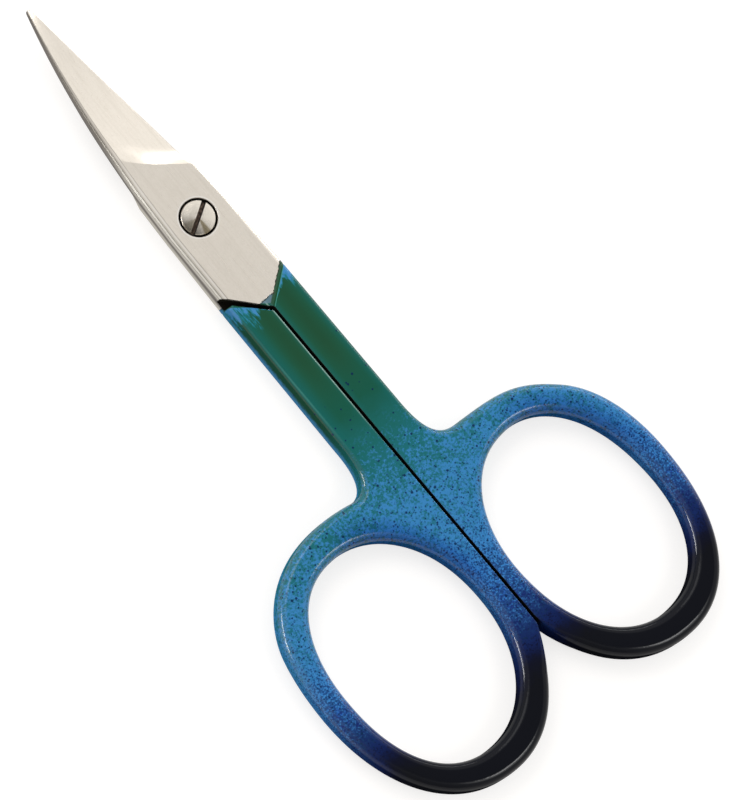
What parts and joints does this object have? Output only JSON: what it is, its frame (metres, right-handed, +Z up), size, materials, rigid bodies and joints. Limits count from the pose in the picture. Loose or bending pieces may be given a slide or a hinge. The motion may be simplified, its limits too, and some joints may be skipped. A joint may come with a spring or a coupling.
{
  "type": "manicure scissors",
  "caption": "Small nail scissors with curved pointed blades, a slotted pivot screw and oval finger rings, handles in colour-faded paint.",
  "frame": {"origin": "bottom centre of the box around the closed scissors, lying flat", "axes": "+Y along the scissors towards the blade tips, +Z up from the face they lie on, +X towards the front half's finger ring"},
  "size_m": [0.045, 0.09, 0.0047],
  "materials": {
    "painted_steel": "glossy handle paint fading from green through blue to black, with satin ground steel at the joint and blades",
    "screw_steel": "turned steel, satin"
  },
  "bodies": {
    "rear": {"rear_half": "painted_steel", "pivot_screw": "screw_steel"},
    "front": {"front_half": "painted_steel"}
  },
  "joints": [
    {"name": "pivot", "type": "hinge", "parent": "rear", "child": "front", "pos_m": [0.00044, 0.01835, 0.0018], "axis": [0, 0, 1], "range_deg": [0, 135]}
  ]
}
